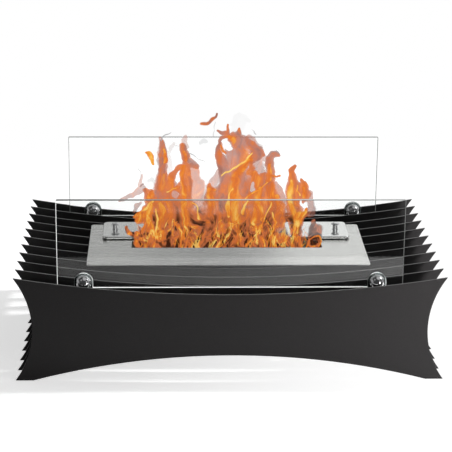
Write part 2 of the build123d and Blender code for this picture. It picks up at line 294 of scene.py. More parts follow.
def floor_finish():
    material, shader = new_finish("pale_floor")
    through_glass = shader.ray("Is Transmission Ray")
    cloudy = shader.grain(6.0, 3.0).within(0.3, 0.7)
    matt = shader.node("ShaderNodeBsdfDiffuse", sockets={"Color": shader.blend(cloudy, *FLOOR_PAINT)})
    near = shader.both(matt, shader.shine(WHITE, GLOW_NEAR))
    far = shader.shine(shader.blend(through_glass, SEEN_DIRECTLY, WHITE), GLOW_FAR)
    here = shader.place()
    reach = shader.node("ShaderNodeVectorMath", {"operation": "LENGTH"}, {0: here}, output="Value")
    along = shader.coordinate("X", here)
    faded = reach.within(*SHADOW_FADES).at_least(along.within(*SHADOW_FADES_RIGHT))
    direct = shader.mix(faded, near, far)
    brighter = along.within(*MIRRORED_LEFT_TO_RIGHT, GLOW_LEFT, GLOW_RIGHT)
    mirrored = shader.both(matt, shader.shine(shader.blend(brighter, BLACK, WHITE)))
    seen = shader.mix(shader.ray("Glossy Depth").at_most(1.0), direct, mirrored)
    shader.finish(shader.mix(shader.ray("Is Diffuse Ray"), seen, matt))
    return material


keep("pale_floor", floor_finish())

# %% Floor
FLOOR_FRONT = -0.733
FLOOR_BACK = 1.1
FLOOR_HALF_WIDTH = 1.2


def make_floor():
    left, right = -FLOOR_HALF_WIDTH, FLOOR_HALF_WIDTH
    sheet = [(left, FLOOR_FRONT), (right, FLOOR_FRONT), (right, FLOOR_BACK), (left, FLOOR_BACK)]
    mesh = bpy.data.meshes.new("floor")
    mesh.from_pydata([(x, y, 0.0) for x, y in sheet], [], [(0, 1, 2, 3)])
    mesh.materials.append(FINISHES["pale_floor"])
    floor = bpy.data.objects.new("floor", mesh)
    bpy.context.scene.collection.objects.link(floor)
    return floor


make_floor()
print("floor:", 2.0 * FLOOR_HALF_WIDTH, "by", round(FLOOR_BACK - FLOOR_FRONT, 2), "m")

# %% [markdown]
# ## The lamps
#
# A sun would be the simplest light, but it has no face, and metal looks like metal only if it can mirror
# the face of a lamp. So there are softboxes. One small lamp at the right throws the striped shadow, and a
# wide one beside it softens the rest. A low one gives the front plate its gradient, and one behind lights
# the brushed steel. The last three are faint: they stand where the chrome caps, the knobs and the polished
# cover look for something to mirror.

# %% Lamps
AIM = (0.0, 0.0, 0.15)


def softbox(name, place, size, power, target=AIM, height=None, tint=(1.0, 1.0, 1.0)):
    """A lamp that faces its target: square, or upright if it has a height of its own."""
    lamp = bpy.data.lights.new(name, "AREA")
    lamp.shape = "RECTANGLE"
    lamp.size = size
    lamp.size_y = height or size
    lamp.energy = power
    lamp.color = tint
    box = bpy.data.objects.new(name, lamp)
    box.location = place
    box.rotation_euler = (Vector(target) - Vector(place)).to_track_quat("-Z", "Y").to_euler()
    box.visible_camera = False
    bpy.context.scene.collection.objects.link(box)
    return box


LOW_AIM = (0.0, 0.0, 0.1)
FRONT_AIM = (0.05, -0.2, 0.08)
WARM = (1.0, 0.95, 0.96)

softbox("right_lamp", (1.87, 0.35, 1.75), size=0.15, power=42.0, target=LOW_AIM)
softbox("right_softbox", (1.5, 0.1, 1.4), size=0.9, power=6.0, target=LOW_AIM)
softbox("front_softbox", (0.8, -1.05, 0.12), size=0.22, power=9.8, target=FRONT_AIM, tint=WARM)
softbox("back_softbox", (0.72, 1.0, 0.62), size=1.3, power=3.5, target=(0.1, 0.0, 0.15))
softbox("left_softbox", (-1.3, -1.3, 1.9), size=0.9, power=0.8)
softbox("narrow_softbox", (1.25, -1.45, 0.8), size=0.35, power=0.9, height=0.6)
softbox("left_back_softbox", (-0.5, 0.95, 0.55), size=0.8, power=0.3, target=(-0.15, 0.0, 0.15))
print("lamps:", len(bpy.data.lights))

# %% [markdown]
# ## The studio around it
#
# The camera sees plain white behind the fireplace, also through the glass. Metal would look flat if it saw
# only white too, so mirrors see a studio that the world's shader draws by direction: a dim room with a
# brighter back wall and bright sides, and a soft light overhead. A bright window at the front shows only to
# light that has already gone from one piece to another, which draws the light line on the cover's lip and
# leaves the glass clear.

# %% Studio
DULL_ABOVE = 0.1  # how brightly the studio lights dull surfaces, from above the horizon and from below
DULL_BELOW = 0.22
CLEAR_GLASS_LIFT = 0.12  # whiter behind glass, to make up for what its faces throw back
MIRRORED_BELOW = 0.015  # what mirrors see: the far floor, the darkened room, its back wall and its sides
MIRRORED_ABOVE = 0.05
MIRRORED_BACK = 0.36
MIRRORED_SIDES = 0.4
MIRRORED_AGAIN = 0.12  # the least that a second mirroring sees above the horizon
FRONT_WINDOW = {"way": (0.06, -0.95, 0.31), "edge": 0.93, "core": 0.98, "strength": 1.3}
OVERHEAD_LIGHT = {"way": (0.25, -0.25, 0.93), "edge": 0.86, "core": 0.95, "strength": 0.5}


def paint_world():
    world = bpy.data.worlds.new("studio")
    world.use_nodes = True
    bpy.context.scene.world = world
    shader = Shader(world.node_tree)
    direction = shader.node("ShaderNodeTexCoord", output="Generated")
    side, back, height = (shader.coordinate(axis, direction) for axis in "XYZ")

    def soft_light(way, edge, core, strength):
        """A bright patch in that direction; edge and core are cosines of the angle from its middle."""
        settings = {"operation": "DOT_PRODUCT"}
        towards = shader.node("ShaderNodeVectorMath", settings, {0: direction, 1: way}, output="Value")
        return towards.within(edge, core, 0.0, strength)

    mirrors = shader.ray("Glossy Depth")
    again = (mirrors - 1.0).within(0.0, 1.0)
    room = MIRRORED_ABOVE + back.within(0.1, 0.6, 0.0, MIRRORED_BACK)
    room = room.at_least(again * (MIRRORED_AGAIN + soft_light(**FRONT_WINDOW)))
    mirrored = MIRRORED_BELOW + height.within(-0.04, 0.08) * room + soft_light(**OVERHEAD_LIGHT)
    mirrored = mirrored.at_least(abs(side).within(0.8, 0.95, 0.0, MIRRORED_SIDES))
    dull = height.within(-0.3, 0.3, DULL_BELOW, DULL_ABOVE)
    lit = mirrored + shader.ray("Is Diffuse Ray") * (dull - mirrored)
    through_glass = shader.ray("Is Transmission Ray")
    seen = shader.ray("Is Camera Ray").at_least(through_glass - mirrors)
    strength = lit + seen * (1.0 + CLEAR_GLASS_LIFT * through_glass - lit)
    light = shader.node("ShaderNodeBackground", sockets={"Color": WHITE, "Strength": strength})
    shader.node("ShaderNodeOutputWorld", sockets={"Surface": light})
    return world


bpy.context.scene.view_settings.view_transform = "Standard"
print("the studio's world has", len(paint_world().node_tree.nodes), "nodes")

# %% [markdown]
# ## Powder coat
#
# The plates, and the spacers, bosses and brackets between them, are painted with a matt charcoal powder
# that melts to a skin with a very fine orange peel. Two noises make it: one of about a millimetre that
# bumps the surface, one of a few centimetres that lets the gloss wander. Powder builds a small radius on
# every cut edge, and there a paler colour is painted in as a highlight, where the light catches the edge.
# The edges could be bevelled one by one, but the rounded normal finds them all: where it turns away from Y
# it is near a cut, and the painted highlight draws the thin light line along a plate.

# %% Powder coat
PEEL_DEPTH = 0.00002
POWDER_RADIUS = 0.0007
CHARCOAL = (colour(0.01, 0.0095, 0.0096), colour(0.0145, 0.0137, 0.014))
# a highlight painted on the cut edges: paler where the light would catch them
PAINTED_EDGE_HIGHLIGHT = colour(0.09, 0.088, 0.088)


def powder_coat():
    material, shader = new_finish("powder_coat")
    peel = shader.grain(900.0, 3.0)
    cloud = shader.grain(22.0, 2.0)
    rounded = shader.rounded(POWDER_RADIUS)
    # painted highlight: the colour turns paler near a cut edge
    edge_highlight = abs(shader.coordinate("Y", rounded)).within(0.35, 0.9, 1.0, 0.0)
    paint = shader.blend(edge_highlight, shader.blend(peel.within(0.35, 0.75), *CHARCOAL), PAINTED_EDGE_HIGHLIGHT)
    gloss = cloud.within(0.3, 0.7, 0.42, 0.5) + 0.06 * peel
    skin = shader.bump(peel, PEEL_DEPTH, rounded)
    coat = shader.principled(Base_Color=paint, Roughness=gloss, Specular_IOR_Level=0.26, Normal=skin)
    shader.finish(coat)
    return material


keep("powder_coat", powder_coat())

# %% [markdown]
# ## Brushed steel
#
# The surround is brushed along its length with an abrasive belt, which leaves hairlines. An anisotropic
# gloss would show their shine but not the lines, so a noise is stretched along X until it is hairlines, and
# moves colour, gloss and, by a micron, the height.

# %% Brushed steel
HAIRLINE_DEPTH = 0.000001


def brushed_steel():
    material, shader = new_finish("brushed_steel")
    hairlines = shader.grain(60.0, 4.0, stretch=(0.35, 32.0, 32.0))
    cloud = shader.grain(9.0, 2.0)
    metal = shader.blend(hairlines.within(0.3, 0.7), colour(0.555, 0.55, 0.54), colour(0.6, 0.595, 0.58))
    gloss = hairlines.within(0.25, 0.75, 0.24, 0.265) + 0.03 * cloud
    skin = shader.bump(hairlines, HAIRLINE_DEPTH)
    shader.finish(shader.principled(Base_Color=metal, Metallic=1.0, Roughness=gloss, Normal=skin))
    return material


keep("brushed_steel", brushed_steel())

# %% [markdown]
# ## Polished steel
#
# The cover is polished, with only a trace of the lines left. Its lip is folded from the sheet, and a folded
# edge is round: modelled sharp, it would be a dead line. The rounded normal gives it a radius without a
# single face more, and the rim picks up the light from overhead.

# %% Polished steel
LIP_RADIUS = 0.0008


def polished_steel():
    material, shader = new_finish("polished_steel")
    traces = shader.grain(50.0, 3.0, stretch=(0.5, 30.0, 30.0))
    metal = shader.blend(traces, colour(0.65, 0.645, 0.64), colour(0.71, 0.71, 0.7))
    gloss = traces.within(0.3, 0.7, 0.1, 0.16)
    lip = shader.rounded(LIP_RADIUS)
    shader.finish(shader.principled(Base_Color=metal, Metallic=1.0, Roughness=gloss, Normal=lip))
    return material


keep("polished_steel", polished_steel())

# %% [markdown]
# ## Box steel
#
# The fuel box and the screen over the wool are plain rolled sheet, duller than the rest. Hot steel grows a
# skin of oxide that looks like straw. It could be painted on by hand, but the heat follows the height, so
# the height in the object's own coordinates tints the metal where the fire is.

# %% Box steel
HEATED = (0.12, 0.15)  # the tint sets in and is full at these heights
STRAW = colour(0.5, 0.4, 0.27)
STRAW_SHARE = 0.55


def box_steel():
    material, shader = new_finish("box_steel")
    rolled = shader.grain(240.0, 3.0)
    heated = shader.coordinate("Z").within(*HEATED)
    plain = shader.blend(rolled, colour(0.42, 0.42, 0.41), colour(0.54, 0.54, 0.53))
    metal = shader.blend(STRAW_SHARE * heated, plain, STRAW)
    gloss = rolled.within(0.3, 0.7, 0.34, 0.46)
    shader.finish(shader.principled(Base_Color=metal, Metallic=1.0, Roughness=gloss))
    return material


keep("box_steel", box_steel())

# %% [markdown]
# ## Zinc plating
#
# Rods, pins, nuts and screws are plated with zinc against rust, which looks bluish and slightly patchy. A
# flat grey metal would do from afar, but close up it is the uneven gloss that tells zinc from steel, so one
# noise of about two millimetres moves both the colour and the gloss.


# %% Zinc plating
def zinc_steel():
    material, shader = new_finish("zinc_steel")
    patches = shader.grain(420.0, 2.0)
    metal = shader.blend(patches.within(0.35, 0.65), colour(0.5, 0.52, 0.55), colour(0.64, 0.66, 0.68))
    gloss = patches.within(0.3, 0.7, 0.24, 0.38)
    shader.finish(shader.principled(Base_Color=metal, Metallic=1.0, Roughness=gloss))
    return material


keep("zinc_steel", zinc_steel())

# %% [markdown]
# ## Chrome
#
# The stud caps and the knobs are turned and chromed: nearly a mirror. A perfect mirror looks computed, so
# a faint haze drifts over it, as a cloth leaves it.


# %% Chrome
def chrome():
    material, shader = new_finish("chrome")
    haze = shader.grain(160.0, 2.0)
    metal = shader.blend(haze, colour(0.56, 0.56, 0.57), colour(0.62, 0.62, 0.63))
    gloss = haze.within(0.3, 0.8, 0.03, 0.07)
    shader.finish(shader.principled(Base_Color=metal, Metallic=1.0, Roughness=gloss))
    return material


keep("chrome", chrome())

# %% [markdown]
# ## Glass
#
# Float glass is clear through its faces, and its ground edges are frosted. The surface's own direction
# tells the two apart: where it doesn't face along Y it is an edge. Inside glass that direction is turned
# round, so it is turned back first. The edges also carry light that enters elsewhere and is guided along
# the pane: the lower edges shine white, the front pane's left edge is pale, and its upper edge is dark at
# the left end and grows brighter towards the lamps. Real light would do this by hundreds of bounces; here
# it is painted light and shade instead: a little shine put there by direction and place, and a frosted
# tone that is painted pale on the lower edges and the front pane's left edge, dark grey on the other
# edges and darkest at that upper left end. A glass that bends light would also throw a black shadow here,
# so shadow rays pass through a nearly clear surface instead.

# %% Glass
PANE = {"Base_Color": colour(0.985, 0.995, 0.99), "Roughness": 0.0, "IOR": 1.5, "Transmission_Weight": 1.0}
# painted light and shade on frosted edges: lit and shaded tones, a darkest end, and both let through
LIT_EDGE_TONE = (colour(0.8, 0.81, 0.805), colour(0.92, 0.93, 0.925))
SHADED_EDGE_TONE = (colour(0.12, 0.125, 0.123), colour(0.18, 0.185, 0.183))
SHADED_END_TONE = colour(0.02, 0.021, 0.02)
LIT_THROUGH_TONE = colour(0.86, 0.87, 0.865)
SHADED_THROUGH_TONE = colour(0.15, 0.155, 0.153)
GUIDED_COLOUR = colour(0.99, 1.0, 0.99)
GUIDED_STRENGTH = 2.0
GUIDED_BELOW = 0.25  # share of it that leaves by a lower edge, and how much more of it at the front pane
GUIDED_BELOW_FRONT = 0.3
GUIDED_LEFT = 0.28  # by the front pane's left edge
GUIDED_ABOVE = 0.2  # by the rear pane's upper edge, and at most by the front pane's
GUIDED_ABOVE_FRONT = 0.215
BRIGHTENS = (-0.26, 0.06)  # along X, where the front pane's upper edge brightens and its dark end fades
DARK_END = (-0.22, -0.1)
MIDDLE = (-0.05, 0.05)  # along Y, between the two panes
THROUGH_SHARE = 0.6  # how much of a frosted edge lets light through
GLASS_SHADOW = colour(0.94, 0.97, 0.955)


def clear_glass():
    material, shader = new_finish("clear_glass")
    facing = shader.node("ShaderNodeNewGeometry", output="Normal")
    from_inside = shader.node("ShaderNodeNewGeometry", output="Backfacing")
    outward = [shader.coordinate(axis, facing) * (1.0 - 2.0 * from_inside) for axis in "XYZ"]
    ground = 1.0 - abs(outward[1]).within(0.72, 0.98)
    below = outward[2].within(-1.0, -0.6, 1.0, 0.0)
    upper = outward[2].within(0.6, 1.0)
    leftward = outward[0].within(-0.9, -0.4, 1.0, 0.0)
    along, across = (shader.coordinate(axis) for axis in "XY")
    in_front = across.within(*MIDDLE, 1.0, 0.0)
    front_top = along.within(*BRIGHTENS, 0.0, GUIDED_ABOVE_FRONT)
    top = GUIDED_ABOVE + in_front * (front_top - GUIDED_ABOVE)
    # painted shade: the front pane's upper edge is darkest at its left end
    shaded_top_end = in_front * upper * along.within(*DARK_END, 1.0, 0.0)
    pale = below.at_least(in_front * leftward)
    grind = shader.grain(1500.0, 2.0)
    # painted light and shade: the lit tone where an edge faces down or is the front pane's left edge, else
    # shaded
    tone = shader.blend(pale, shader.blend(grind, *SHADED_EDGE_TONE), shader.blend(grind, *LIT_EDGE_TONE))
    tone = shader.blend(shaded_top_end, tone, SHADED_END_TONE)
    skin = shader.principled(Base_Color=tone, Roughness=0.35, IOR=1.5, Specular_IOR_Level=0.25)
    shaded_through, lit_through = (
        shader.node("ShaderNodeBsdfTranslucent", sockets={"Color": shade})
        for shade in (SHADED_THROUGH_TONE, LIT_THROUGH_TONE)
    )
    through = shader.mix(pale, shaded_through, lit_through)
    frosted = shader.mix(THROUGH_SHARE - THROUGH_SHARE * shaded_top_end, skin, through)
    guided = below * (GUIDED_BELOW + GUIDED_BELOW_FRONT * in_front) + GUIDED_LEFT * in_front * leftward
    guided = guided + upper * top
    shine = shader.shine(GUIDED_COLOUR, GUIDED_STRENGTH)
    glow = shader.node("ShaderNodeMixShader", sockets={0: guided, 2: shine})  # its empty socket is black
    pane = shader.mix(ground, shader.principled(**PANE), shader.both(frosted, glow))
    shader.finish(shader.mix(shader.ray("Is Shadow Ray"), pane, shader.clear(GLASS_SHADOW)))
    return material


keep("clear_glass", clear_glass())

# %% [markdown]
# ## Clear silicone
#
# The saddles and gaskets round each notch are clear silicone. Squeezed between glass and chrome, light has
# to pass so many skins that it would be lost, and a full bending material would turn black. So in shadow
# it is plain transparency, and a large share of it is that everywhere.

# %% Clear silicone
CLEAR_SHARE = 0.8
SILICONE_SHADE = colour(0.8, 0.82, 0.82)


def clear_plastic():
    material, shader = new_finish("clear_plastic")
    flow = shader.grain(300.0, 2.0)
    tint = shader.blend(flow, SILICONE_SHADE, colour(0.88, 0.89, 0.89))
    gloss = flow.within(0.3, 0.7, 0.08, 0.2)
    body = shader.principled(Base_Color=tint, Roughness=gloss, IOR=1.41, Transmission_Weight=1.0)
    share = shader.ray("Is Shadow Ray").at_least(CLEAR_SHARE)
    shader.finish(shader.mix(share, body, shader.clear(SILICONE_SHADE)))
    return material


keep("clear_plastic", clear_plastic())

# %% [markdown]
# ## White nylon
#
# The glide pads under the cover are moulded nylon, which is hard but lets a little light in. A white paint
# would look like chalk beside it, so a fifth of the light goes below the skin.

# %% White nylon
LIGHT_WITHIN = 0.2


def white_nylon():
    material, shader = new_finish("white_nylon")
    mould = shader.grain(500.0, 2.0)
    body = shader.blend(mould, colour(0.74, 0.73, 0.69), colour(0.82, 0.81, 0.78))
    gloss = mould.within(0.3, 0.7, 0.36, 0.46)
    shader.finish(shader.principled(Base_Color=body, Roughness=gloss, Subsurface_Weight=LIGHT_WITHIN))
    return material


keep("white_nylon", white_nylon())

# %% [markdown]
# ## Ceramic wool
#
# The wick is ceramic wool: pressed white fibre whose strands show as short tangled streaks. Real strands
# would take a hair system, far too heavy for a pad that lies under a screen. Two noises drawn out at right
# angles to each other and multiplied make the same tangle.

# %% Ceramic wool
TANGLE_DEPTH = 0.0006


def ceramic_fibre():
    material, shader = new_finish("ceramic_fibre")
    strands = shader.grain(260.0, 4.0, stretch=(1.0, 4.5, 2.0))
    tangle = shader.grain(420.0, 4.0, stretch=(3.5, 1.0, 2.0))
    fibre = strands * tangle
    wool = shader.blend(fibre.within(0.1, 0.45), colour(0.5, 0.47, 0.42), colour(0.84, 0.82, 0.77))
    skin = shader.bump(fibre, TANGLE_DEPTH)
    shader.finish(shader.principled(Base_Color=wool, Roughness=0.95, Normal=skin))
    return material


keep("ceramic_fibre", ceramic_fibre())

# %% [markdown]
# ## Dressing the solids
#
# Each packed solid comes with slots that name its finish. Its mesh could be bevelled and cut finer before
# it is painted, but putting a new material in the slot, and leaving the mesh alone, keeps every piece at
# the size and place that the packed model gives it.

# %% Dress every node
for node in nodes.values():
    for slot in node.material_slots:
        slot.material = FINISHES[slot.material.name]
worn = {slot.material.name for node in nodes.values() for slot in node.material_slots}
print("dressed", len(nodes), "nodes in", len(worn), "finishes")

# %% [markdown]
# ## The ceramic-wool pad
#
# The real wick is a strip cut from a wool blanket and pressed into the box, so its top is lumpy and its
# edges are frayed and rounded. It could be sculpted, but a fine grid whose points are pushed about by
# noise gives the same uneven top and stays inside the space of the solid.

# %% Wool pad
PAD_STEP = 0.003  # side of a square of the grid
PAD_SINK = 0.0022  # how far the hollows of the top lie below its highest points
PAD_EDGE = 0.004  # width of the rounded edge
EDGE_DROP = 0.0024  # how far the top falls there
LUMPS_PER_METRE = 60.0
FLUFF_PER_METRE = 330.0
LUMP_SHARE = 0.7


def wool_pad():
    start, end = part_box("wick_pad")
    size = end - start
    columns, rows = (round(size[axis] / PAD_STEP) for axis in (0, 1))
    pad = bmesh.new()

    def swell(x, y, scale, layer):
        return 0.5 + 0.5 * noise.noise(Vector((x * scale, y * scale, layer)))

    def top_height(x, y):
        nearest = min(x - start.x, end.x - x, y - start.y, end.y - y)
        sag = (1.0 - min(1.0, nearest / PAD_EDGE)) ** 2 * EDGE_DROP
        lumps = LUMP_SHARE * swell(x, y, LUMPS_PER_METRE, 0.0)
        fluff = (1.0 - LUMP_SHARE) * swell(x, y, FLUFF_PER_METRE, 5.0)
        return end.z - PAD_SINK * (lumps + fluff) - sag

    def corner(i, j, top):
        x = start.x + size.x * i / columns
        y = start.y + size.y * j / rows
        return pad.verts.new((x, y, top_height(x, y) if top else start.z))

    top = [[corner(i, j, True) for j in range(rows + 1)] for i in range(columns + 1)]
    base = [[corner(i, j, False) for j in range(rows + 1)] for i in range(columns + 1)]
    for i in range(columns):
        for j in range(rows):
            pad.faces.new((top[i][j], top[i + 1][j], top[i + 1][j + 1], top[i][j + 1]))
            pad.faces.new((base[i][j], base[i][j + 1], base[i + 1][j + 1], base[i + 1][j]))
    for i in range(columns):
        pad.faces.new((base[i][0], base[i + 1][0], top[i + 1][0], top[i][0]))
        pad.faces.new((top[i][rows], top[i + 1][rows], base[i + 1][rows], base[i][rows]))
    for j in range(rows):
        pad.faces.new((top[0][j], top[0][j + 1], base[0][j + 1], base[0][j]))
        pad.faces.new((base[columns][j], base[columns][j + 1], top[columns][j + 1], top[columns][j]))
    mesh = bpy.data.meshes.new("wool_pad")
    pad.to_mesh(mesh)
    pad.free()
    mesh.materials.append(FINISHES["ceramic_fibre"])
    mesh.shade_smooth()
    piece = bpy.data.objects.new("wool_pad", mesh)
    bpy.context.scene.collection.objects.link(piece)
    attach(piece, "burner")
    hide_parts("wick_pad")
    return piece


print("wool pad faces:", len(wool_pad().data.polygons))
